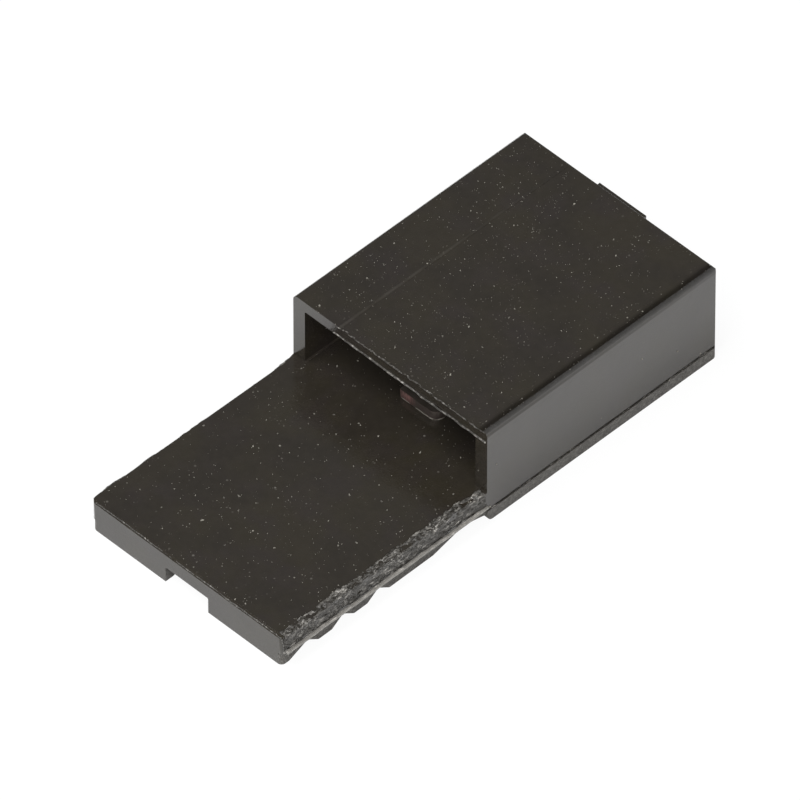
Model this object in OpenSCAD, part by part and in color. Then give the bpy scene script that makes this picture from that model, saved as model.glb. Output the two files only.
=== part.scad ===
// Two-pin jumper shunt, 2.54 mm pitch, with a flat grip handle.
// A moulded housing holds one folded sheet contact that bridges the two pins.
// X is the width, +Y runs from the handle tip to the pin entries, +Z is up.
// The part lies on its ridged underside, with the origin under its middle.

/* [Shroud] */
// Outer width of the shroud above the base strip
shroud_w = 5.0; // [4.9:0.02:5.04]
// Length of the shroud from its mouth to its rear face
shroud_l = 5.95; // [5.8:0.05:6.4]
// Height of the shroud, underside to roof
shroud_h = 2.28; // [2.2:0.02:2.48]
// Thickness of each side wall
side_wall = 0.3; // [0.24:0.01:0.34]
// Thickness of the roof
roof_wall = 0.24; // [0.2:0.01:0.3]
// Thickness of the rear wall that the pins pass through
rear_wall = 0.7; // [0.5:0.05:0.9]
// Radius of the long roof edges and the upright rear edges
edge_r = 0.11; // [0.06:0.01:0.16]
// Radius of the roof edge at the rear
rear_edge_r = 0.05; // [0.03:0.01:0.1]
// Radius of the shroud floor's front edge at the underside
base_nose_r = 0.14; // [0.08:0.01:0.2]
// Radius inside the long corners of the cavity
cavity_r = 0.04; // [0.02:0.01:0.08]

/* [Base strip] */
// Height of the strip below the parting line
strip_h = 0.27; // [0.22:0.01:0.32]
// How far the strip stands proud of each side
strip_proud = 0.02; // [0.01:0.005:0.03]
// Depth of the groove that marks the parting line
groove_d = 0.03; // [0.02:0.005:0.05]
// Height of the groove
groove_h = 0.04; // [0.03:0.005:0.06]

/* [Handle] */
// Length of the handle from its tip to the shroud's mouth
handle_l = 5.2; // [4.8:0.05:6.0]
// Thickness of the handle, ridges included, which is the cavity floor's height too
floor_t = 0.735; // [0.7:0.005:0.8]
// How far each handle side stands inside the shroud's side at the mouth
root_inset = 0.06; // [0.04:0.01:0.12]
// How far each handle side stands inside the shroud's side at the tip
tip_inset = 0.03; // [0.02:0.01:0.12]
// Length over which the handle flares out into the shroud
root_flare = 0.3; // [0.2:0.05:0.5]
// Radius of the two corners at the tip
tip_corner_r = 0.1; // [0.06:0.01:0.2]
// Size of the bevel along the tip's upper edge
tip_bevel = 0.05; // [0.03:0.01:0.08]

/* [Grip ridges] */
// How far the ridges' ends stand inside the slab's sides
ridge_inset = 0.03; // [0.02:0.01:0.08]
// Number of cross valleys
valley_count = 3; // [2:1:4]
// Distance from one valley to the next
valley_pitch = 0.91; // [0.8:0.01:1.0]
// Distance from the tip to the first valley
first_valley = 0.67; // [0.6:0.01:0.8]
// Half the width of a valley at the underside
valley_half = 0.285; // [0.25:0.005:0.32]
// Depth of a valley
valley_d = 0.2; // [0.15:0.01:0.24]
// Flat left in front of the first valley
tip_land = 0.2; // [0.14:0.01:0.26]
// Length of the relief between the last ridge and the shroud's base
relief_l = 1.3; // [1.0:0.05:1.4]
// Length of the relief's ramp
relief_ramp = 0.6; // [0.4:0.05:0.8]
// Depth of the relief
relief_d = 0.15; // [0.1:0.01:0.2]
// Radius that eases the ridges' edges
ridge_r = 0.06; // [0.03:0.01:0.08]
// Width of the channel that splits the ridges
channel_w = 1.1; // [0.9:0.05:1.4]
// Depth of that channel
channel_d = 0.37; // [0.3:0.01:0.42]

/* [Pin entries] */
// Distance between the two pins
pin_pitch = 2.54; // [2.5:0.02:2.6]
// Side of the square pin
pin_side = 0.64; // [0.6:0.01:0.66]
// Clearance around the pin in its entry
pin_gap = 0.13; // [0.08:0.01:0.16]
// How much wider than the hole the lead-in is, on each side
lead_in = 0.17; // [0.1:0.01:0.2]
// Depth of the lead-in
lead_d = 0.35; // [0.2:0.05:0.45]
// Width of the stand-off rib on the rear face
rib_w = 1.2; // [1.0:0.05:1.3]
// How far the rib stands proud
rib_proud = 0.07; // [0.04:0.01:0.1]
// Distance from the left side to the fine witness line on the roof
witness_x = 1.2; // [0.8:0.05:1.6]
// Width of the witness line
witness_w = 0.07; // [0.05:0.01:0.1]
// Height of the witness line
witness_h = 0.012; // [0.01:0.002:0.02]

/* [Contact] */
// Thickness of the sheet metal
metal_t = 0.2; // [0.15:0.01:0.22]
// Inside radius of its bends
bend_r = 0.1; // [0.08:0.01:0.14]
// Play between the contact and each side wall
side_play = 0.05; // [0.03:0.01:0.07]
// Play between the contact and the roof
roof_play = 0.05; // [0.03:0.01:0.08]
// Play between the contact and the rear wall
rear_play = 0.06; // [0.04:0.01:0.1]
// Length of the contact from the stub's cut face to its rear end
contact_l = 4.59; // [4.2:0.05:4.7]
// Width of the sheared carrier stub
stub_w = 0.96; // [0.7:0.02:1.2]
// Length of the stub
stub_l = 0.55; // [0.4:0.05:0.7]
// How far the stub stands to one side of the middle
stub_shift = 0.12; // [0:0.02:0.2]
// Radius of the stub's front corner on that side
stub_r = 0.2; // [0.1:0.02:0.25]
// Length of the two box sections
box_l = 1.5; // [1.2:0.1:1.8]
// Width of each spring arm and each lower finger
arm_w = 0.9; // [0.7:0.05:1.0]
// How much narrower than the pin the arm's mouth is
squeeze = 0.2; // [0.1:0.02:0.26]
// Height of the hump that the pin slides over
hump_h = 0.12; // [0.08:0.01:0.14]
// Distance from the contact's rear end to its pinch point
pinch_back = 0.8; // [0.7:0.05:1.1]
// How far the arm's free end flares up
flare_h = 0.3; // [0.2:0.02:0.34]
// Length of each side barb
barb_l = 0.45; // [0.3:0.05:0.6]

/* [Hidden] */

overlap = 0.2;            // how far joined solids reach into each other
clear = 1;                // how far cutting solids reach past what they cut
arc_step = 12;            // degrees turned by each facet of an eased corner

total_l = handle_l + shroud_l + rib_proud;
tip_y = -total_l / 2;
mouth_y = tip_y + handle_l;
rear_y = mouth_y + shroud_l;
cavity_w = shroud_w - 2 * side_wall;
cavity_end_y = rear_y - rear_wall;
ceiling_z = shroud_h - roof_wall;
pin_z = (floor_t + ceiling_z) / 2;
root_w = shroud_w - 2 * root_inset;
tip_w = shroud_w - 2 * tip_inset;
hole_side = pin_side + 2 * pin_gap;

clip_rear_y = cavity_end_y - rear_play;
clip_front_y = clip_rear_y - contact_l;
web_front_y = clip_front_y + stub_l;
box_rear_y = web_front_y + box_l;
pinch_y = clip_rear_y - pinch_back;
clip_w = cavity_w - 2 * side_play;
arm_z = ceiling_z - roof_play - metal_t / 2;
web_z = floor_t + metal_t / 2;
pinch_z = floor_t + metal_t + hump_h + pin_side - squeeze + metal_t / 2;

// Unit vector along v
function unit(v) = v / norm(v);

// v turned by an angle
function turned(v, angle) = [v.x * cos(angle) - v.y * sin(angle), v.x * sin(angle) + v.y * cos(angle)];

// The arc that eases the corner b between a and c
function eased(a, b, c, r) =
    let (
        u = unit(a - b),
        v = unit(c - b),
        half = acos(max(-1, min(1, u * v))) / 2,
        sweep = 180 - 2 * half,
        side = sign(cross(b - a, c - b)),
        centre = b + unit(u + v) * r / sin(half),
        start = b + u * r / tan(half) - centre,
        steps = max(1, ceil(sweep / arc_step))
    )
    [for (i = [0:steps]) centre + turned(start, side * sweep * i / steps)];

// A closed outline from [x, y, radius] corners
function outline(corners) =
    let (n = len(corners), flat = [for (c = corners) [c.x, c.y]])
    [for (i = [0:n - 1]) each corners[i].z > 0
        ? eased(flat[(i + n - 1) % n], flat[i], flat[(i + 1) % n], corners[i].z)
        : [flat[i]]];

// An open path from [x, y, radius] corners
function bent(corners) =
    let (n = len(corners), flat = [for (c = corners) [c.x, c.y]])
    [for (i = [0:n - 1]) each i > 0 && i < n - 1 && corners[i].z > 0
        ? eased(flat[i - 1], flat[i], flat[i + 1], corners[i].z)
        : [flat[i]]];

// The normal at point i of a path, lengthened at bends so that the sheet keeps its thickness
function mitre(path, i) =
    let (
        n = len(path),
        before = i > 0 ? unit(path[i] - path[i - 1]) : unit(path[1] - path[0]),
        after = i < n - 1 ? unit(path[i + 1] - path[i]) : before,
        mid = unit(before + after)
    )
    turned(mid, 90) / (mid * before);

// The outline of a sheet of thickness t whose middle follows a path
function sheet(path, t) = concat(
    [for (i = [0:len(path) - 1]) path[i] + mitre(path, i) * t / 2],
    [for (i = [len(path) - 1:-1:0]) path[i] - mitre(path, i) * t / 2]
);

// Extrudes an X-Z section from y0 to y1
module along_y(y0, y1, points) {
    translate([0, y1, 0])
        rotate([90, 0, 0])
            linear_extrude(y1 - y0)
                polygon(points);
}

// Extrudes a Y-Z profile from x0 to x1
module along_x(x0, x1, points) {
    translate([x0, 0, 0])
        rotate([90, 0, 90])
            linear_extrude(x1 - x0)
                polygon(points);
}

// Extrudes an X-Y plan from z0 to z1
module along_z(z0, z1, points) {
    translate([0, 0, z0])
        linear_extrude(z1 - z0)
            polygon(points);
}

// The shroud's end view: base strip, parting groove, side walls and eased roof edges
function shroud_section() =
    let (
        side = shroud_w / 2,
        strip = side + strip_proud,
        groove = side - groove_d
    )
    outline([
        [-strip, 0, 0], [strip, 0, 0], [strip, strip_h, 0], [groove, strip_h, 0],
        [groove, strip_h + groove_h, 0], [side, strip_h + groove_h, 0], [side, shroud_h, edge_r],
        [-side, shroud_h, edge_r], [-side, strip_h + groove_h, 0], [-groove, strip_h + groove_h, 0],
        [-groove, strip_h, 0], [-strip, strip_h, 0]
    ]);

// The shroud's plan: square at the mouth, eased at the rear
function shroud_plan() =
    let (side = shroud_w / 2 + strip_proud)
    outline([
        [-side, mouth_y, 0], [side, mouth_y, 0],
        [side, rear_y, edge_r], [-side, rear_y, edge_r]
    ]);

// The shroud's side view: nose at the underside, eased rear roof edge
function shroud_profile() = outline([
    [mouth_y, 0, base_nose_r], [rear_y, 0, 0],
    [rear_y, shroud_h, rear_edge_r], [mouth_y, shroud_h, 0]
]);

module shroud_block() {
    intersection() {
        along_y(mouth_y - clear, rear_y + clear, shroud_section());
        along_z(-clear, shroud_h + clear, shroud_plan());
        along_x(-shroud_w, shroud_w, shroud_profile());
    }
}

// The handle's end view: full-width slab over the slightly narrower ridges
function handle_section() =
    let (
        slab = shroud_w / 2,
        ridge = slab - ridge_inset
    )
    [
        [-ridge, 0], [ridge, 0], [ridge, strip_h], [slab, strip_h],
        [slab, floor_t], [-slab, floor_t], [-slab, strip_h], [-ridge, strip_h]
    ];

// The handle's plan, its sides pulled in by an inset
function handle_plan(inset) =
    let (
        tip = tip_w / 2 - inset,
        root = root_w / 2 - inset,
        joint = shroud_w / 2 - inset,
        flare_y = mouth_y - root_flare
    )
    outline([
        [-tip, tip_y, tip_corner_r], [tip, tip_y, tip_corner_r],
        [root, flare_y, root_flare], [joint, mouth_y, 0], [joint, mouth_y + overlap, 0],
        [-joint, mouth_y + overlap, 0], [-joint, mouth_y, 0], [-root, flare_y, root_flare]
    ]);

// The handle's side view: land, cross valleys, long ridge, relief, bevelled tip
function handle_profile() =
    let (
        valley_y = [for (i = [0:valley_count - 1]) tip_y + first_valley + i * valley_pitch],
        valleys = [for (i = [0:valley_count - 1]) each [
            [i == 0 ? tip_y + tip_land : valley_y[i] - valley_half, 0, ridge_r],
            [valley_y[i], valley_d, ridge_r],
            [valley_y[i] + valley_half, 0, ridge_r]
        ]],
        relief = [
            [mouth_y - relief_l, 0, ridge_r],
            [mouth_y - relief_l + relief_ramp, relief_d, ridge_r],
            [mouth_y + overlap, relief_d, 0]
        ],
        top = [
            [mouth_y + overlap, floor_t, 0],
            [tip_y + tip_bevel, floor_t, 0],
            [tip_y, floor_t - tip_bevel, 0]
        ]
    )
    outline(concat([[tip_y, 0, 0]], valleys, relief, top));

module handle_slab() {
    difference() {
        intersection() {
            along_x(-shroud_w, shroud_w, handle_profile());
            union() {
                along_z(strip_h, floor_t + clear, handle_plan(0));
                along_z(-clear, strip_h, handle_plan(ridge_inset));
            }
        }
        grip_channel();
    }
}

// The channel under the handle, open at the tip and closed by the shroud's base
module grip_channel() {
    half = channel_w / 2;
    along_y(tip_y - clear, mouth_y, outline([
        [-half, -clear, 0], [half, -clear, 0],
        [half, channel_d, ridge_r / 2], [-half, channel_d, ridge_r / 2]
    ]));
}

// The room that the contact slides into, open at the mouth
module cavity() {
    half = cavity_w / 2;
    along_y(mouth_y - clear, cavity_end_y, outline([
        [-half, floor_t, cavity_r], [half, floor_t, cavity_r],
        [half, ceiling_z, cavity_r], [-half, ceiling_z, cavity_r]
    ]));
}

// One square pin entry: a straight hole behind a four-sided lead-in
module pin_entry() {
    half = hole_side / 2;
    wide = half + lead_in;
    grow = wide + lead_in * clear / lead_d;
    funnel = [
        [-half, -lead_d], [half, -lead_d],
        [grow, clear], [-grow, clear]
    ];
    translate([-half, cavity_end_y - clear, pin_z - half])
        cube([hole_side, rear_wall + 2 * clear, hole_side]);
    intersection() {
        translate([0, rear_y, pin_z - 2 * wide])
            linear_extrude(4 * wide)
                polygon(funnel);
        translate([-2 * wide, rear_y, pin_z])
            rotate([90, 0, 90])
                linear_extrude(4 * wide)
                    polygon([for (p = funnel) [p.y, p.x]]);
    }
}

// The low rib that keeps the shunt off the header's base
module standoff_rib() {
    translate([-rib_w / 2, rear_y - overlap, 0])
        cube([rib_w, rib_proud + overlap, shroud_h - rear_edge_r]);
}

// The fine line that a split in the mould leaves along the roof
module witness_line() {
    translate([witness_x - shroud_w / 2 - witness_w / 2, mouth_y, shroud_h - roof_wall / 2])
        cube([witness_w, shroud_l - rear_edge_r, roof_wall / 2 + witness_h]);
}

module housing() {
    color([0.10, 0.095, 0.09])
        union() {
            difference() {
                union() {
                    shroud_block();
                    handle_slab();
                    standoff_rib();
                }
                cavity();
                for (side = [-1, 1])
                    translate([side * pin_pitch / 2, 0, 0])
                        pin_entry();
            }
            witness_line();
        }
}

// The flat bridge between the two pins, with the stub of its carrier strip
module bridge_web() {
    half = pin_pitch / 2 + arm_w / 2;
    stub_left = stub_shift - stub_w / 2;
    stub_right = stub_shift + stub_w / 2;
    along_z(floor_t, floor_t + metal_t, outline([
        [stub_left, clip_front_y, 0.04], [stub_right, clip_front_y, stub_r],
        [stub_right, web_front_y, 0.1], [half, web_front_y, 0],
        [half, box_rear_y, 0], [-half, box_rear_y, 0],
        [-half, web_front_y, 0], [stub_left, web_front_y, 0.1]
    ]));
}

// The box section that ties web, side and arm: floor, side and roof of one folded strip
module box_section() {
    side_x = clip_w / 2 - metal_t / 2;
    inner_x = pin_pitch / 2 - arm_w / 2;
    fold = bend_r + metal_t / 2;
    along_y(web_front_y, box_rear_y, sheet(bent([
        [inner_x, web_z, 0], [side_x, web_z, fold],
        [side_x, arm_z, fold], [inner_x, arm_z, 0]
    ]), metal_t));
}

// The spring arm: down to the pinch point, then flared up to guide the pin
module spring_arm() {
    along_x(pin_pitch / 2 - arm_w / 2, pin_pitch / 2 + arm_w / 2, sheet(bent([
        [box_rear_y - overlap, arm_z, 0], [box_rear_y + overlap, arm_z, 2 * metal_t],
        [pinch_y, pinch_z, 2 * metal_t], [clip_rear_y, pinch_z + flare_h, 0]
    ]), metal_t));
}

// The lower finger: flat on the cavity floor, humped under the pinch point
module lower_finger() {
    top = web_z + hump_h;
    reach = 2 * metal_t;
    along_x(pin_pitch / 2 - arm_w / 2, pin_pitch / 2 + arm_w / 2, sheet(bent([
        [box_rear_y - overlap, web_z, 0], [pinch_y - 1.5 * reach, web_z, metal_t],
        [pinch_y - reach / 2, top, metal_t], [pinch_y + reach / 2, top, metal_t],
        [pinch_y + 1.5 * reach, web_z, metal_t], [clip_rear_y, web_z, 0]
    ]), metal_t));
}

// The barb that grips the side wall
module side_barb() {
    base_x = clip_w / 2 - metal_t / 2;
    face_x = cavity_w / 2;
    start_y = (web_front_y + box_rear_y) / 2;
    along_z(pin_z - metal_t, pin_z + metal_t, [
        [base_x, start_y], [base_x, start_y + barb_l],
        [face_x, start_y + barb_l], [face_x, start_y + barb_l / 2],
        [clip_w / 2, start_y]
    ]);
}

module contact_half() {
    box_section();
    spring_arm();
    lower_finger();
    side_barb();
}

module contact_clip() {
    color([0.72, 0.60, 0.50])
        union() {
            bridge_web();
            contact_half();
            mirror([1, 0, 0])
                contact_half();
        }
}

housing();
contact_clip();
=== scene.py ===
import math
import random
import bpy
import bmesh
from mathutils import Matrix, Vector


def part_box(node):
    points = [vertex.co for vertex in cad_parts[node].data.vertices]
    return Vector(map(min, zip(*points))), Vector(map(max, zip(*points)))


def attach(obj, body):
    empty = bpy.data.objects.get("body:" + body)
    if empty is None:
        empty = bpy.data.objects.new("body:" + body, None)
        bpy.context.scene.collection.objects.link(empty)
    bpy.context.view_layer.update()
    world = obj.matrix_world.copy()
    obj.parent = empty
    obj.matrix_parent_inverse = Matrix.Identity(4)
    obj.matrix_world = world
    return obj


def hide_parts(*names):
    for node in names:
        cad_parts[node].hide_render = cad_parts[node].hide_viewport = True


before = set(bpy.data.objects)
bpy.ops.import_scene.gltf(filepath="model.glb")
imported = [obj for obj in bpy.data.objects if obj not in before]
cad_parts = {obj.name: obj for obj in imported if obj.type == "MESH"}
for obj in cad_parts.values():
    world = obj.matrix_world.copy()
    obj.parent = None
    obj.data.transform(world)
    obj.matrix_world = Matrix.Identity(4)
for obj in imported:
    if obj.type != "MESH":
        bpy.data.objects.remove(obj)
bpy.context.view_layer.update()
mm = 0.001

# Where the housing's features lie, from its own box and a few lengths of the moulding
boxLow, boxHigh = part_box("housing")
moulding = {
    "handleLength": 5.2 * mm,
    "shroudLength": 5.95 * mm,
    "floorHeight": 0.735 * mm,
    "stripHeight": 0.27 * mm,
    "shroudHalfWidth": 2.5 * mm,
    "mouldLineHeight": 0.012 * mm,
}
tipY = boxLow.y
mouthY = tipY + moulding["handleLength"]
rearY = mouthY + moulding["shroudLength"]
roofZ = boxHigh.z - moulding["mouldLineHeight"]
floorZ = moulding["floorHeight"]
stripZ = moulding["stripHeight"]
sideX = moulding["shroudHalfWidth"]


def smoothPolygons(mesh, sharpAngle):
    mesh.polygons.foreach_set("use_smooth", [True] * len(mesh.polygons))
    mesh.set_sharp_from_angle(angle=math.radians(sharpAngle))


def newObject(name, mesh):
    piece = bpy.data.objects.new(name.replace(" ", "_"), mesh)
    bpy.context.scene.collection.objects.link(piece)
    return piece


def newPiece(name, corners, edges=(), faces=()):
    mesh = bpy.data.meshes.new(name)
    mesh.from_pydata([Vector(corner) for corner in corners], edges, faces)
    return newObject(name, mesh)


def finishPiece(piece, node=None):
    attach(piece, "root")
    if node:
        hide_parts(node)


# Shader maths: a wrapped socket that takes + - * / and comparisons as Math nodes
class Wire:
    def __init__(self, bench, socket):
        self.bench = bench
        self.socket = socket

    def math(self, operation, *others):
        return self.bench.node("ShaderNodeMath", {"operation": operation}, [self, *others])

    def __add__(self, other):
        return self.math("ADD", other)

    __radd__ = __add__

    def __mul__(self, other):
        return self.math("MULTIPLY", other)

    __rmul__ = __mul__

    def __sub__(self, other):
        return self.math("SUBTRACT", other)

    def __rsub__(self, other):
        return self.bench.node("ShaderNodeMath", {"operation": "SUBTRACT"}, [other, self])

    def __rtruediv__(self, other):
        return self.bench.node("ShaderNodeMath", {"operation": "DIVIDE"}, [other, self])

    def __pow__(self, other):
        return self.math("POWER", other)

    def __gt__(self, other):
        return self.math("GREATER_THAN", other)

    def __lt__(self, other):
        return self.math("LESS_THAN", other)

    def __abs__(self):
        return self.math("ABSOLUTE")

    def least(self, other):
        return self.math("MINIMUM", other)

    def most(self, other):
        return self.math("MAXIMUM", other)

    # 0 below low, 1 above high, smooth between; also runs downwards when low > high
    def ramp(self, low, high):
        return self.bench.node("ShaderNodeMapRange", {"interpolation_type": "SMOOTHSTEP", "clamp": True},
                               {"Value": self, "From Min": low, "From Max": high})

    def other(self, name):
        return Wire(self.bench, self.socket.node.outputs[name])


class Bench:
    def __init__(self, tree):
        self.tree = tree

    # One way to add any node: its type, its settings, then values or wires for its sockets
    def node(self, kind, settings=None, sockets=None, out=0):
        made = self.tree.nodes.new(kind)
        for key, value in (settings or {}).items():
            setattr(made, key, value)
        pairs = sockets.items() if isinstance(sockets, dict) else enumerate(sockets or [])
        for key, value in pairs:
            self.feed(made.inputs[key], value)
        return Wire(self, made.outputs[out]) if len(made.outputs) else made

    def feed(self, socket, value):
        if isinstance(value, Wire):
            self.tree.links.new(value.socket, socket)
        elif value is not None:
            socket.default_value = value

    # Sockets 6 and 7 are the two colours of a Mix node, and output 2 is its colour
    def mixColour(self, factor, low, high):
        mixed = self.node("ShaderNodeMix", {"data_type": "RGBA"}, {0: factor}, out=2)
        self.feed(mixed.socket.node.inputs[6], asColour(low))
        self.feed(mixed.socket.node.inputs[7], asColour(high))
        return mixed

    def scaled(self, vector, factors):
        return self.node("ShaderNodeVectorMath", {"operation": "MULTIPLY"}, [vector, factors])

    def noise(self, vector, size, detail=2.0, roughness=0.5):
        return self.node("ShaderNodeTexNoise", {"noise_dimensions": "3D"},
                         {"Vector": vector, "Scale": 1 / size, "Detail": detail, "Roughness": roughness})

    def bump(self, height, depth, under=None):
        return self.node("ShaderNodeBump", {}, {"Strength": 1.0, "Distance": depth, "Height": height,
                                                "Normal": under})


def asColour(value):
    return value if isinstance(value, Wire) else (*value, 1)


def newMaterial(name):
    material = bpy.data.materials.new(name)
    material.use_nodes = True
    material.node_tree.nodes.clear()
    return material, Bench(material.node_tree)


def finishMaterial(bench, shader):
    bench.node("ShaderNodeOutputMaterial", {}, {"Surface": shader})


# A new tree with a geometry input and the named inputs, its bench and a look-up of its input wires
def newTree(name, inputs):
    tree = bpy.data.node_groups.new(name, "GeometryNodeTree")
    tree.interface.new_socket("Geometry", in_out="INPUT", socket_type="NodeSocketGeometry")
    tree.interface.new_socket("Geometry", in_out="OUTPUT", socket_type="NodeSocketGeometry")
    for label, kind in inputs.items():
        tree.interface.new_socket(label, in_out="INPUT", socket_type="NodeSocket" + kind)
    bench = Bench(tree)
    first = bench.node("NodeGroupInput")
    return tree, bench, {label: first.other(label) for label in ("Geometry", *inputs)}


def closeTree(bench, geometry, material):
    real = bench.node("GeometryNodeRealizeInstances", {}, {"Geometry": geometry})
    painted = bench.node("GeometryNodeSetMaterial", {}, {"Geometry": real, "Material": material})
    bench.node("NodeGroupOutput", {}, {"Geometry": painted})


# Runs a tree on an object and leaves it a plain mesh
def bakeTree(piece, tree, values):
    modifier = piece.modifiers.new(tree.name, "NODES")
    modifier.node_group = tree
    for item in tree.interface.items_tree:
        if item.in_out == "INPUT" and item.name in values:
            modifier[item.identifier] = values[item.name]
    bakeModifiers(piece)


def bakeModifiers(piece):
    evaluated = piece.evaluated_get(bpy.context.evaluated_depsgraph_get())
    baked = bpy.data.meshes.new_from_object(evaluated)
    piece.modifiers.clear()
    piece.data = baked
    baked.name = piece.name


barLook = {
    "step": 0.014 * mm,       # how fine the bars' meshes are
    "spacing": 0.3 * mm,      # between the nudged points of a path
    "cornerShare": 0.2,       # the section's corner radius as a share of its width
    "cornerSteps": 3,
    "alongTear": 0.55,        # under 1 draws the lumps out along the tear
}


# A bar of torn plastic that follows a path: a rounded section, roughened by two sizes of noise
def raggedBarTree():
    tree, bench, take = newTree("ragged bar", {
        "Width": "Float", "Height": "Float", "Step": "Float", "Lump Size": "Float", "Lump": "Float",
        "Grain Size": "Float", "Grain": "Float", "Slant": "Float", "Middle": "Float", "Seed": "Float",
        "Material": "Material"})
    path = bench.node("GeometryNodeMeshToCurve", {}, {"Mesh": take["Geometry"]})
    path = bench.node("GeometryNodeResampleCurve", {"mode": "LENGTH"},
                      {"Curve": path, "Length": take["Step"]})
    path = bench.node("GeometryNodeSetCurveNormal", {"mode": "Z_UP"}, {"Curve": path})
    section = bench.node("GeometryNodeCurvePrimitiveQuadrilateral", {},
                         {"Width": take["Width"], "Height": take["Height"]})
    section = bench.node("GeometryNodeFilletCurve", {"mode": "POLY"}, {
        "Curve": section, "Count": barLook["cornerSteps"], "Radius": take["Width"] * barLook["cornerShare"]})
    section = bench.node("GeometryNodeResampleCurve", {"mode": "LENGTH"},
                         {"Curve": section, "Length": take["Step"]})
    bar = bench.node("GeometryNodeCurveToMesh", {},
                     {"Curve": path, "Profile Curve": section, "Fill Caps": True})
    place = bench.scaled(bench.node("GeometryNodeInputPosition"), (1.0, barLook["alongTear"], 1.0))
    shift = wobble(bench, place, take["Lump Size"], take["Lump"], take["Seed"])
    fine = wobble(bench, place, take["Grain Size"], take["Grain"], take["Seed"] + 9)
    shift = bench.node("ShaderNodeVectorMath", {"operation": "ADD"}, [shift, fine])
    bar = bench.node("GeometryNodeSetPosition", {}, {"Geometry": bar, "Offset": shift})
    rise = bench.node("ShaderNodeSeparateXYZ", {}, [bench.node("GeometryNodeInputPosition")]).other("Z")
    lean = bench.node("ShaderNodeCombineXYZ", {}, {"X": (take["Middle"] - rise) * take["Slant"]})
    bar = bench.node("GeometryNodeSetPosition", {}, {"Geometry": bar, "Offset": lean})
    closeTree(bench, bar, take["Material"])
    return tree


# A push in a random direction, up to about the amount
def wobble(bench, place, size, amount, seed):
    cloud = bench.node("ShaderNodeTexNoise", {"noise_dimensions": "4D"},
                       {"Vector": place, "W": seed, "Scale": 1 / size, "Detail": 2.0}, "Color")
    centred = bench.node("ShaderNodeVectorMath", {"operation": "SUBTRACT"}, [cloud, (0.5, 0.5, 0.5)])
    return bench.node("ShaderNodeVectorMath", {"operation": "SCALE"},
                      {"Vector": centred, "Scale": amount * 2})


grainLook = {
    "driftEdge": (0.4, 0.75),        # where the drifts thin out and where they are full
    "mostlySmall": 3.0,              # higher leaves fewer big grains
    "slimmest": (0.5, 0.35, 0.35),
    "fullest": (1.4, 0.8, 0.6),
}


# Loose grains lying in drifts on the surfaces that face up
def grainTree():
    tree, bench, take = newTree("loose grains", {
        "Density": "Float", "Drift Size": "Float", "Smallest": "Float", "Largest": "Float",
        "Facing": "Float", "Seed": "Int", "Material": "Material"})
    facing = bench.node("ShaderNodeSeparateXYZ", {}, [bench.node("GeometryNodeInputNormal")])
    drift = bench.noise(bench.node("GeometryNodeInputPosition"), take["Drift Size"], 3.0)
    density = take["Density"] * drift.ramp(*grainLook["driftEdge"]) * (facing.other("Z") > take["Facing"])
    spots = bench.node("GeometryNodeDistributePointsOnFaces", {"distribute_method": "RANDOM"},
                       {"Mesh": take["Geometry"], "Density": density, "Seed": take["Seed"]})
    grain = bench.node("GeometryNodeMeshIcoSphere", {}, {"Radius": 1.0, "Subdivisions": 1})
    pick = bench.node("FunctionNodeRandomValue", {"data_type": "FLOAT"},
                      {"Min": 0.0, "Max": 1.0, "Seed": take["Seed"]}, "Value")
    size = take["Smallest"] + (take["Largest"] - take["Smallest"]) * pick ** grainLook["mostlySmall"]
    turn = bench.node("FunctionNodeRandomValue", {"data_type": "FLOAT_VECTOR"},
                      {"Min": (0.0, 0.0, 0.0), "Max": (6.28, 6.28, 6.28), "Seed": take["Seed"] + 3}, "Value")
    squash = bench.node("FunctionNodeRandomValue", {"data_type": "FLOAT_VECTOR"},
                        {"Min": grainLook["slimmest"], "Max": grainLook["fullest"],
                         "Seed": take["Seed"] + 5}, "Value")
    scale = bench.node("ShaderNodeVectorMath", {"operation": "SCALE"}, {"Vector": squash, "Scale": size})
    grains = bench.node("GeometryNodeInstanceOnPoints", {},
                        {"Points": spots, "Instance": grain, "Rotation": turn, "Scale": scale})
    closeTree(bench, grains, take["Material"])
    return tree


cameraLook = {
    "azimuth": 45.1,          # degrees round the object
    "elevation": 46.03,
    "distance": 452 * mm,
    "viewWidth": 14.574 * mm,
    "aimHeight": 1 * mm,      # above the middle of the mouth
    "aimRight": 0.1824 * mm,  # then sideways and up in the view
    "aimUp": 0.2379 * mm,
}


def makeCamera():
    turned = math.radians(cameraLook["azimuth"])
    above = math.radians(cameraLook["elevation"])
    right = Vector((math.cos(turned), math.sin(turned), 0))
    back = Vector((math.sin(turned) * math.cos(above), -math.cos(turned) * math.cos(above), math.sin(above)))
    up = back.cross(right)
    middle = Vector((0, mouthY, cameraLook["aimHeight"]))
    aim = middle + right * cameraLook["aimRight"] + up * cameraLook["aimUp"]
    data = bpy.data.cameras.new("camera")
    data.sensor_width = 36
    data.lens = data.sensor_width * cameraLook["distance"] / cameraLook["viewWidth"]
    data.clip_start = 0.01
    data.clip_end = 10
    camera = newObject("camera", data)
    turn = Matrix((right, up, back)).transposed().to_4x4()
    camera.matrix_world = Matrix.Translation(aim + back * cameraLook["distance"]) @ turn
    bpy.context.scene.camera = camera


makeCamera()
print("camera placed")

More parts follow.
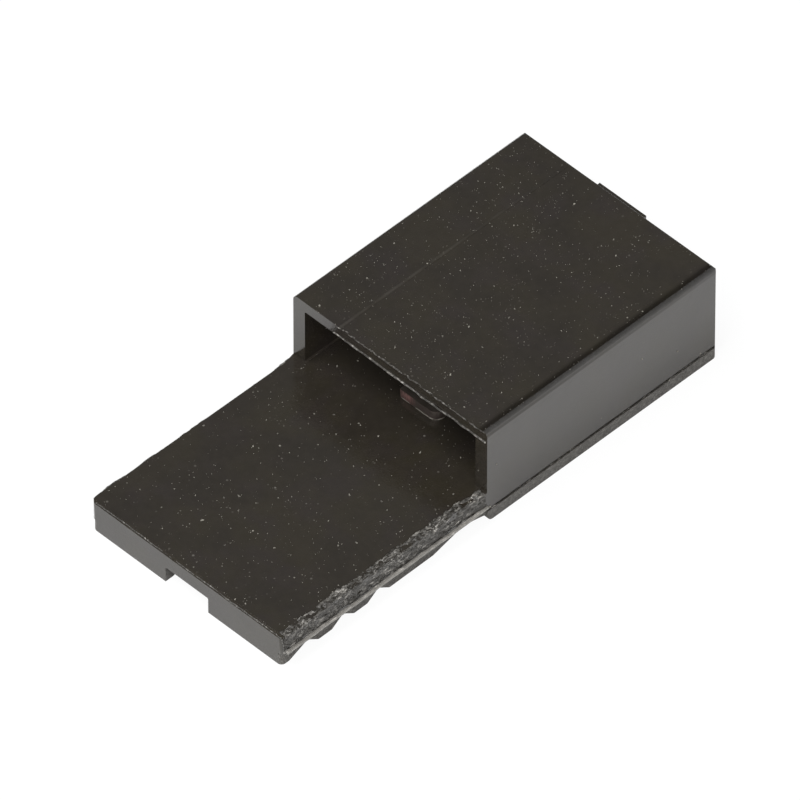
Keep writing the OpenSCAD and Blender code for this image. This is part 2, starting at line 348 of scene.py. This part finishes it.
stageLook = {
    "floorSize": 3.0,
    "floorColour": (0.9, 0.9, 0.9),
    "floorGlow": 0.93,        # how much of the floor's white is its own, to the camera
    "skyHorizon": 0.10,
    "skyTop": 0.24,
    "skyRise": (0.05, 0.6),   # sines of the heights where the sky starts and stops brightening
    "topLight": {"energy": 1.1, "size": 0.22, "place": (-0.05, -0.12, 0.30)},
    "sideLight": {"energy": 0.45, "size": 0.16, "place": (0.26, -0.10, 0.16)},
    "frontLight": {"energy": 0.85, "size": 0.20, "place": (0.13, -0.30, 0.20)},
}


# A white sweep that is clear from below
def makeFloor():
    half = stageLook["floorSize"] / 2
    corners = [(-half, -half, 0), (half, -half, 0), (half, half, 0), (-half, half, 0)]
    floor = newPiece("floor", corners, faces=[(0, 1, 2, 3)])
    material, bench = newMaterial("white sweep")
    seen = bench.node("ShaderNodeLightPath").other("Is Camera Ray") * stageLook["floorGlow"]
    matt = bench.node("ShaderNodeBsdfDiffuse", {}, {"Color": (*stageLook["floorColour"], 1)})
    glow = bench.node("ShaderNodeEmission", {}, {"Color": (1, 1, 1, 1), "Strength": 1.0})
    lit = bench.node("ShaderNodeMixShader", {}, [seen, matt, glow])
    clear = bench.node("ShaderNodeBsdfTransparent")
    under = bench.node("ShaderNodeNewGeometry").other("Backfacing")
    finishMaterial(bench, bench.node("ShaderNodeMixShader", {}, [under, lit, clear]))
    floor.data.materials.append(material)


def makeLight(name, look):
    data = bpy.data.lights.new(name, "AREA")
    data.shape = "DISK"
    data.size = look["size"]
    data.energy = look["energy"]
    lamp = newObject(name, data)
    place = Vector(look["place"])
    lamp.matrix_world = Matrix.Translation(place) @ place.to_track_quat("Z", "Y").to_matrix().to_4x4()


# Plain white to the camera, and a dim sky that brightens upwards to everything else
def makeWorld():
    world = bpy.data.worlds.new("studio")
    bpy.context.scene.world = world
    world.use_nodes = True
    world.node_tree.nodes.clear()
    bench = Bench(world.node_tree)
    seen = bench.node("ShaderNodeLightPath").other("Is Camera Ray")
    way = bench.node("ShaderNodeSeparateXYZ", {}, [bench.node("ShaderNodeTexCoord").other("Generated")])
    height = way.other("Z").ramp(*stageLook["skyRise"])
    low, high, white = [bench.node("ShaderNodeBackground", {}, {"Color": (1, 1, 1, 1), "Strength": strength})
                        for strength in (stageLook["skyHorizon"], stageLook["skyTop"], 1.0)]
    sky = bench.node("ShaderNodeMixShader", {}, [height, low, high])
    glow = bench.node("ShaderNodeMixShader", {}, [seen, sky, white])
    bench.node("ShaderNodeOutputWorld", {}, {"Surface": glow})


makeFloor()
makeLight("top softbox", stageLook["topLight"])
makeLight("side softbox", stageLook["sideLight"])
makeLight("front softbox", stageLook["frontLight"])
makeWorld()
bpy.context.scene.view_settings.view_transform = "Standard"
print("stage set")

mouldedBlack = {
    "colour": (0.0165, 0.0140, 0.0110),
    "mottleColour": (0.0264, 0.0224, 0.0176),
    "warmPatch": (0.0200, 0.0170, 0.0118),
    "coolPatch": (0.0195, 0.0160, 0.0152),
    "dust": (0.15, 0.14, 0.125),
    "worn": (0.11, 0.104, 0.094),
    "roughness": 0.13,
    "wornRoughness": 0.5,
    "dustRoughness": 0.3,         # added to the black's
    "patchSize": 1.1 * mm,
    "tintSize": 0.8 * mm,
    "tintShare": 0.6,
    "mottleSize": 0.16 * mm,
    "mottleShare": 0.3,
    "mottleRoughness": 0.06,
    "grainSize": 0.035 * mm,
    "grainDepth": 0.0016 * mm,
    "waveSize": 0.7 * mm,
    "waveDepth": 0.004 * mm,
}

dustFilm = {
    "cell": 0.16 * mm,
    "share": 0.4,                 # of the cells that hold a speck
    "smallCell": 0.08 * mm,
    "smallShare": 0.3,
    "smallStrength": 0.7,
    "smallest": 0.05,             # speck sizes, as shares of a cell
    "spread": 0.16,
    "softness": 0.4,
    "driftSize": 0.8 * mm,
    "strength": 0.8,
    "rise": 2,                    # how far a speck stands up, against the grain
}

footStrip = {
    "reach": 0.15 * mm,           # inwards from the side
    "blend": 0.01 * mm,
    "foot": 0.01 * mm,
    "scuffSize": 0.05 * mm,
    "scuffLeast": 0.2,
    "rubSize": 0.07 * mm,
    "rubDepth": 22,               # against the grain
}

mouldLine = {
    "middle": -1.3 * mm,
    "half": 0.05 * mm,
    "breakSize": 0.3 * mm,
    "least": 0.3,
    "strength": 0.10,
    "fadeFrom": 2 * mm,           # behind the mouth
}

# The right long roof edge turns over softly
roofTurn = {
    "reach": 0.34 * mm,
    "slope": 2.6,                 # how steeply it falls at the very edge
    "depth": 0.2 * mm,            # how far down the side it is still felt
}


# Fine light dust: a share of the cells of a cell noise, each with a small round speck
def dustSpecks(bench, place, cell, share):
    cells = bench.node("ShaderNodeTexVoronoi", {"feature": "F1"}, {"Vector": place, "Scale": 1 / cell})
    lot = bench.node("ShaderNodeSeparateColor", {}, [cells.other("Color")])
    reach = lot.other("Green") * dustFilm["spread"] + dustFilm["smallest"]
    speck = cells.other("Distance").ramp(reach, reach * dustFilm["softness"])
    return speck * (lot.other("Red") < share) * lot.other("Blue")


# Specks of two sizes, in drifts on what faces up
def dustedPlaces(bench, place):
    facing = bench.node("ShaderNodeSeparateXYZ", {}, [bench.node("ShaderNodeNewGeometry").other("Normal")])
    up = facing.other("Z").ramp(0.5, 0.9)
    drift = bench.noise(place, dustFilm["driftSize"], 4, 0.6).ramp(0.42, 0.62)
    large = dustSpecks(bench, place, dustFilm["cell"], dustFilm["share"])
    small = dustSpecks(bench, place, dustFilm["smallCell"], dustFilm["smallShare"])
    return large.most(small * dustFilm["smallStrength"]) * drift * up


# The rough, scuffed strip along the foot of the sides
def stripPlaces(x, z):
    low = z.ramp(stripZ + footStrip["blend"], stripZ - footStrip["blend"])
    return low * (abs(x) > sideX - footStrip["reach"]) * (z > footStrip["foot"])


# A faint pale line where two halves of the mould met, fading towards the rear
def mouldLinePlaces(bench, place, x, y, z):
    line = abs(x - mouldLine["middle"]).ramp(mouldLine["half"], 0) * (z > roofZ - 0.01 * mm)
    broken = bench.noise(place, mouldLine["breakSize"], 4).ramp(0.35, 0.65)
    whole = broken * (1.0 - mouldLine["least"]) + mouldLine["least"]
    return line * whole * y.ramp(rearY, mouthY + mouldLine["fadeFrom"])


# How high the roof stands near its right edge, in millimetres below its flat part
def roofFall(x, y, z):
    across = x.ramp(sideX - roofTurn["reach"], sideX)
    fall = -0.5 * roofTurn["slope"] * roofTurn["reach"] / mm
    return across * across * (y > mouthY) * (z > roofZ - roofTurn["depth"]) * fall


def makeMouldedBlack():
    look = mouldedBlack
    material, bench = newMaterial("moulded black")
    place = bench.node("ShaderNodeTexCoord").other("Object")
    where = bench.node("ShaderNodeSeparateXYZ", {}, [place])
    x = where.other("X")
    y = where.other("Y")
    z = where.other("Z")
    speck = dustedPlaces(bench, place)
    strip = stripPlaces(x, z)
    line = mouldLinePlaces(bench, place, x, y, z)
    patches = bench.noise(place, look["patchSize"], 4).ramp(0.35, 0.65)
    tint = bench.noise(place, look["tintSize"], 3).ramp(0.45, 0.7)
    mottle = bench.noise(place, look["mottleSize"], 4, 0.65).ramp(0.3, 0.7)
    scuffs = bench.noise(place, footStrip["scuffSize"], 4, 0.7).ramp(0.4, 0.7)
    scuffs = scuffs * (1.0 - footStrip["scuffLeast"]) + footStrip["scuffLeast"]
    base = bench.mixColour(patches, look["colour"], look["warmPatch"])
    base = bench.mixColour(tint * look["tintShare"], base, look["coolPatch"])
    base = bench.mixColour(mottle * look["mottleShare"], base, look["mottleColour"])
    base = bench.mixColour(line * mouldLine["strength"], base, look["dust"])
    base = bench.mixColour(strip * scuffs, base, look["worn"])
    base = bench.mixColour(speck * dustFilm["strength"], base, look["dust"])
    rough = (mottle - 0.5) * look["mottleRoughness"] + look["roughness"] + speck * look["dustRoughness"]
    rough = rough + strip * (look["wornRoughness"] - look["roughness"])
    grain = bench.noise(place, look["grainSize"], 3, 0.6)
    rubs = bench.noise(place, footStrip["rubSize"], 4, 0.7) * footStrip["rubDepth"]
    wave = bench.noise(place, look["waveSize"], 2)
    turned = bench.bump(roofFall(x, y, z), mm)
    waves = bench.bump(wave, look["waveDepth"], turned)
    bump = bench.bump(grain + speck * dustFilm["rise"] + strip * rubs, look["grainDepth"], waves)
    skin = bench.node("ShaderNodeBsdfPrincipled", {},
                      {"Base Color": base, "Roughness": rough, "IOR": 1.5, "Normal": bump})
    finishMaterial(bench, skin)
    return material


tornBlack = {
    "dark": (0.016, 0.014, 0.011),
    "pale": (0.46, 0.44, 0.405),
    "roughness": 0.42,
    "streakSize": 0.055 * mm,
    "streakStretch": (1, 0.3, 1.2),   # under 1 draws the streaks out that way
    "streakDepth": 0.01 * mm,
    "streakRoughness": 0.3,
    "paleSize": 0.3 * mm,             # of the paler and darker stretches
    "fleckSize": 0.025 * mm,
    # how white each kind is, and how much of that is even
    "torn black": (0.95, 0),
    "burr": (1.2, 0),
    # the flash's even share is a painted highlight standing for the light its top edge catches
    "flash": (0.9, 0.3),
}


# Torn plastic: the same black, stress-whitened in streaks that run along the tear; a kind's even share adds
# a painted highlight over them
def makeTornBlack(name):
    look = tornBlack
    whiteness, even = look[name]
    material, bench = newMaterial(name)
    place = bench.node("ShaderNodeTexCoord").other("Object")
    streaks = bench.noise(bench.scaled(place, look["streakStretch"]), look["streakSize"], 4, 0.7)
    wide = bench.noise(place, look["paleSize"], 2).ramp(0.35, 0.65)
    flecks = bench.noise(place, look["fleckSize"], 3, 0.7).ramp(0.5, 0.75)
    white = (streaks.ramp(0.48, 0.68) * 0.7 + flecks * 0.5) * (wide * 0.7 + 0.3) * whiteness
    # the even share is painted highlight, laid evenly over the stress-whitened streaks
    base = bench.mixColour((white + even).least(1), look["dark"], look["pale"])
    rough = streaks * look["streakRoughness"] + look["roughness"] - 0.1
    bump = bench.bump(streaks, look["streakDepth"])
    skin = bench.node("ShaderNodeBsdfPrincipled", {},
                      {"Base Color": base, "Roughness": rough, "IOR": 1.5, "Normal": bump})
    finishMaterial(bench, skin)
    return material


dustLook = {
    "pale": (0.20, 0.188, 0.16),
    "dark": (0.055, 0.05, 0.042),
    "kindSize": 0.25 * mm,
    "crumbSize": 0.01 * mm,
    "crumbDepth": 0.004 * mm,
    "roughness": 0.5,
    "crumbRoughness": 0.3,
}


def makeDust():
    look = dustLook
    material, bench = newMaterial("dust")
    place = bench.node("ShaderNodeTexCoord").other("Object")
    kind = bench.noise(place, look["kindSize"], 2).ramp(0.35, 0.65)
    crumb = bench.noise(place, look["crumbSize"], 2)
    base = bench.mixColour(kind, look["dark"], look["pale"])
    rough = crumb * look["crumbRoughness"] + look["roughness"]
    bump = bench.bump(crumb, look["crumbDepth"])
    skin = bench.node("ShaderNodeBsdfPrincipled", {},
                      {"Base Color": base, "Roughness": rough, "Normal": bump})
    finishMaterial(bench, skin)
    return material


plating = {
    "tin": (0.085, 0.072, 0.060),
    "tarnish": (0.0425, 0.036, 0.030),
    "cut": (0.070, 0.056, 0.048),
    # bare alloy red, brightened into a painted glint
    "bareRedGlint": (0.26, 0.14, 0.125),
    # colour of the painted highlight line along the cut face's foot
    "pale": (0.75, 0.70, 0.62),
    "roughness": 0.42,
    "streakRoughness": 0.2,
    "streakDepth": 0.001 * mm,
    "metallic": 0.6,
    "tarnishSize": 0.4 * mm,
    "tarnishShare": 0.7,
    "rollStreak": 0.05 * mm,
    "shearStreak": 0.03 * mm,
    # middle and reach of the painted glint, where the edge catches light
    "redGlintSpot": (-0.17 * mm, 0.19 * mm, 0.89 * mm),
    "redGlintReach": 0.26 * mm,
    "redGlintCore": 0.05 * mm,
    "highlightLineTop": 0.024 * mm,       # the painted highlight line's upper limits, above the cavity's floor
    "highlightLineFull": 0.012 * mm,
    "highlightLineBreak": 0.12 * mm,
}


def metalSkin(bench, base, streak):
    rough = streak * plating["streakRoughness"] + plating["roughness"] - 0.1
    bump = bench.bump(streak, plating["streakDepth"])
    return bench.node("ShaderNodeBsdfPrincipled", {}, {
        "Base Color": base, "Metallic": plating["metallic"], "Roughness": rough, "Normal": bump})


def makePlatedSheet():
    material, bench = newMaterial("tinned sheet")
    place = bench.node("ShaderNodeTexCoord").other("Object")
    streak = bench.noise(bench.scaled(place, (1, 0.15, 1)), plating["rollStreak"], 3)
    tarnish = bench.noise(place, plating["tarnishSize"], 4).ramp(0.35, 0.65)
    base = bench.mixColour(tarnish * plating["tarnishShare"], plating["tin"], plating["tarnish"])
    finishMaterial(bench, metalSkin(bench, base, streak))
    return material


# The sheared end: dull, with a painted glint of bare red alloy near one corner and a painted highlight line
# at the foot
def makeCutEnd():
    material, bench = newMaterial("sheared end")
    place = bench.node("ShaderNodeTexCoord").other("Object")
    z = bench.node("ShaderNodeSeparateXYZ", {}, [place]).other("Z")
    streak = bench.noise(bench.scaled(place, (1, 1, 0.3)), plating["shearStreak"], 3)
    away = bench.node("ShaderNodeVectorMath", {"operation": "DISTANCE"},
                      [place, plating["redGlintSpot"]], "Value")
    # painted glint: bare alloy red, bright only in the spot where light is caught
    redGlint = away.ramp(plating["redGlintReach"], plating["redGlintCore"]) * streak.ramp(0.3, 0.6)
    # painted highlight: a broken pale line along the foot of the cut face
    foot = z.ramp(floorZ + plating["highlightLineTop"], floorZ + plating["highlightLineFull"])
    foot = foot * bench.noise(place, plating["highlightLineBreak"]).ramp(0.35, 0.6)
    base = bench.mixColour(redGlint, plating["cut"], plating["bareRedGlint"])
    base = bench.mixColour(foot, base, plating["pale"])
    finishMaterial(bench, metalSkin(bench, base, streak))
    return material


blackPlastic = makeMouldedBlack()
tornPlastic = makeTornBlack("torn black")
burrPlastic = makeTornBlack("burr")
flashPlasticWithHighlight = makeTornBlack("flash")
dust = makeDust()
platedSheet = makePlatedSheet()
cutEnd = makeCutEnd()
print("finishes mixed")

fineLook = {
    "mergeGap": 0.003 * mm,
    "leastEdge": 0.001 * mm,
    "flatAngle": 0.5,         # degrees under which neighbouring faces are one
    "housingEdge": 0.012 * mm,
    "contactEdge": 0.006 * mm,
    "edgeSteps": 2,
    "edgeAngle": 40,          # degrees from which an edge is rounded
    "shadeAngle": 32,         # degrees from which the shading breaks
    "lineShare": 0.35,        # how much of the mould line's height still stands
}


# A finer copy of a solid: triangles joined, flat faces made whole, and every sharp edge a little rounded
def fineCopy(name, node, edgeRadius):
    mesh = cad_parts[node].data.copy()
    work = bmesh.new()
    work.from_mesh(mesh)
    bmesh.ops.remove_doubles(work, verts=work.verts, dist=fineLook["mergeGap"])
    bmesh.ops.dissolve_degenerate(work, edges=work.edges, dist=fineLook["leastEdge"])
    flat = math.radians(fineLook["flatAngle"])
    bmesh.ops.dissolve_limit(work, angle_limit=flat, verts=work.verts, edges=work.edges)
    for corner in work.verts:
        if corner.co.z > roofZ:
            corner.co.z = roofZ + (corner.co.z - roofZ) * fineLook["lineShare"]
    work.to_mesh(mesh)
    work.free()
    mesh.materials.clear()
    piece = newObject(name, mesh)
    bevel = piece.modifiers.new("edges", "BEVEL")
    bevel.width = edgeRadius
    bevel.segments = fineLook["edgeSteps"]
    bevel.angle_limit = math.radians(fineLook["edgeAngle"])
    bakeModifiers(piece)
    smoothPolygons(piece.data, fineLook["shadeAngle"])
    level = piece.modifiers.new("level", "WEIGHTED_NORMAL")
    level.weight = 100
    level.keep_sharp = True
    bakeModifiers(piece)
    return piece


housing = fineCopy("housing shell", "housing", fineLook["housingEdge"])
housing.data.materials.append(blackPlastic)
finishPiece(housing, "housing")
print("housing shell", len(housing.data.polygons))

seeds = random.Random(11)


# Points along straight stretches between corners, each nudged a little, joined by edges
def wavyPath(corners, spacing, nudge):
    points = []
    for start, end in zip(corners, corners[1:]):
        start, end = Vector(start), Vector(end)
        count = max(1, round((end - start).length / spacing))
        for step in range(count):
            point = start.lerp(end, step / count)
            points.append(point + Vector([seeds.uniform(-nudge, nudge) for _ in range(3)]))
    points.append(Vector(corners[-1]))
    return points, [(k, k + 1) for k in range(len(points) - 1)]


raggedBar = raggedBarTree()
# Paths, widths, heights, lumps, grains and nudges are in millimetres
tornEdges = {
    # the handle's side that faces right: torn from top to flash line
    "torn side": {
        "path": [(2.41, -5.56, 0.56), (2.395, -3.2, 0.56), (2.385, -1.9, 0.56), (2.38, -1.0, 0.56),
                 (2.43, -0.44, 0.58)],
        "width": 0.17, "height": 0.38, "slant": 0.06, "lump": 0.055, "lumpSize": 0.14, "grain": 0.045,
        "grainSize": 0.05, "nudge": 0.014, "material": tornPlastic},
    # a proud, even line of flash under it, stress-whitened and with a painted highlight along its edge
    "flash line": {
        "path": [(2.545, -5.58, 0.405), (2.53, -3.2, 0.395), (2.525, -1.9, 0.395), (2.53, -1.0, 0.40),
                 (2.535, -0.42, 0.405)],
        "width": 0.06, "height": 0.055, "slant": 0.25, "lump": 0.006, "lumpSize": 0.25, "grain": 0.005,
        "grainSize": 0.04, "nudge": 0.006, "material": flashPlasticWithHighlight},
    "left side": {
        "path": [(-2.44, -5.52, 0.51), (-2.41, -3.2, 0.51), (-2.40, -1.0, 0.51), (-2.44, -0.5, 0.51)],
        "width": 0.13, "height": 0.41, "lump": 0.035, "lumpSize": 0.2, "grain": 0.012, "grainSize": 0.04,
        "nudge": 0.01, "material": tornPlastic},
    # burr left along the mouth's upper lip
    "mouth burr": {
        "path": [(-1.45, -0.413, 2.06), (0.3, -0.42, 2.045), (2.46, -0.42, 2.045)],
        "width": 0.035, "height": 0.035, "lump": 0.022, "lumpSize": 0.2, "grain": 0.014, "grainSize": 0.035,
        "nudge": 0.008, "material": burrPlastic},
    "roof chips": {
        "path": [(-1.35, -0.405, 2.268), (0.4, -0.403, 2.265), (2.42, -0.405, 2.262)],
        "width": 0.025, "height": 0.022, "lump": 0.03, "lumpSize": 0.09, "grain": 0.02, "grainSize": 0.035,
        "nudge": 0.008, "material": tornPlastic},
    "strip edge": {
        "path": [(2.497, -0.3, 0.262), (2.497, 2.5, 0.262), (2.495, 5.45, 0.262)],
        "width": 0.03, "height": 0.02, "lump": 0.018, "lumpSize": 0.12, "grain": 0.016, "grainSize": 0.04,
        "nudge": 0.005, "material": tornPlastic},
    "tip chips": {
        "path": [(-2.38, -5.585, 0.70), (0.2, -5.583, 0.70), (2.42, -5.585, 0.70)],
        "width": 0.025, "height": 0.025, "lump": 0.016, "lumpSize": 0.2, "grain": 0.008, "grainSize": 0.03,
        "nudge": 0.005, "material": tornPlastic},
    "tip corner burr": {
        "path": [(2.44, -5.60, 0.70), (2.47, -5.59, 0.56), (2.485, -5.58, 0.34)],
        "width": 0.03, "height": 0.03, "lump": 0.01, "lumpSize": 0.1, "grain": 0.008, "grainSize": 0.03,
        "nudge": 0.004, "material": burrPlastic},
}
for name, look in tornEdges.items():
    corners = [Vector(corner) * mm for corner in look["path"]]
    points, edges = wavyPath(corners, barLook["spacing"], look["nudge"] * mm)
    bar = newPiece(name, points, edges)
    bakeTree(bar, raggedBar, {
        "Width": look["width"] * mm, "Height": look["height"] * mm, "Step": barLook["step"],
        "Lump Size": look["lumpSize"] * mm, "Lump": look["lump"] * mm,
        "Grain Size": look["grainSize"] * mm, "Grain": look["grain"] * mm,
        "Slant": look.get("slant", 0.0), "Middle": corners[0].z, "Seed": seeds.uniform(0, 50),
        "Material": look["material"]})
    smoothPolygons(bar.data, 180)
    finishPiece(bar)
print("torn edges laid")

stubLook = {
    "cutDepth": 0.02 * mm,    # the cut face lies this near the contact's front end
    "edgeDepth": 0.21 * mm,   # and its broken edges this near
    "edgeTilt": 0.5,
}
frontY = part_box("contact_clip")[0].y
contact = fineCopy("folded contact", "contact_clip", fineLook["contactEdge"])
contact.data.materials.append(platedSheet)
contact.data.materials.append(cutEnd)
for face in contact.data.polygons:
    depth = face.center.y - frontY
    upright = abs(face.normal.z) < stubLook["edgeTilt"]
    if depth < stubLook["cutDepth"] or (upright and depth < stubLook["edgeDepth"]):
        face.material_index = 1
finishPiece(contact, "contact_clip")
print("contact folded", len(contact.data.polygons))

dustCover = 2.2    # makes up for the bare ground between drifts
dustLays = {
    "fine dust": {
        "count": 3000, "drift": 0.7, "smallest": 0.006, "largest": 0.018, "seed": 4, "facing": 0.95},
    "dust grains": {
        "count": 650, "drift": 1.0, "smallest": 0.012, "largest": 0.036, "seed": 17, "facing": 0.95},
    # on the upright faces too
    "stray grains": {
        "count": 60, "drift": 1.5, "smallest": 0.008, "largest": 0.03, "seed": 29, "facing": -0.1},
}
topArea = (boxHigh.x - boxLow.x) * (boxHigh.y - boxLow.y)
settling = grainTree()
for name, lay in dustLays.items():
    grains = newObject(name, housing.data.copy())
    bakeTree(grains, settling, {
        "Density": lay["count"] / topArea * dustCover, "Drift Size": lay["drift"] * mm,
        "Smallest": lay["smallest"] * mm, "Largest": lay["largest"] * mm,
        "Facing": lay["facing"], "Seed": lay["seed"], "Material": dust})
    smoothPolygons(grains.data, 180)
    finishPiece(grains)

print("dust settled")
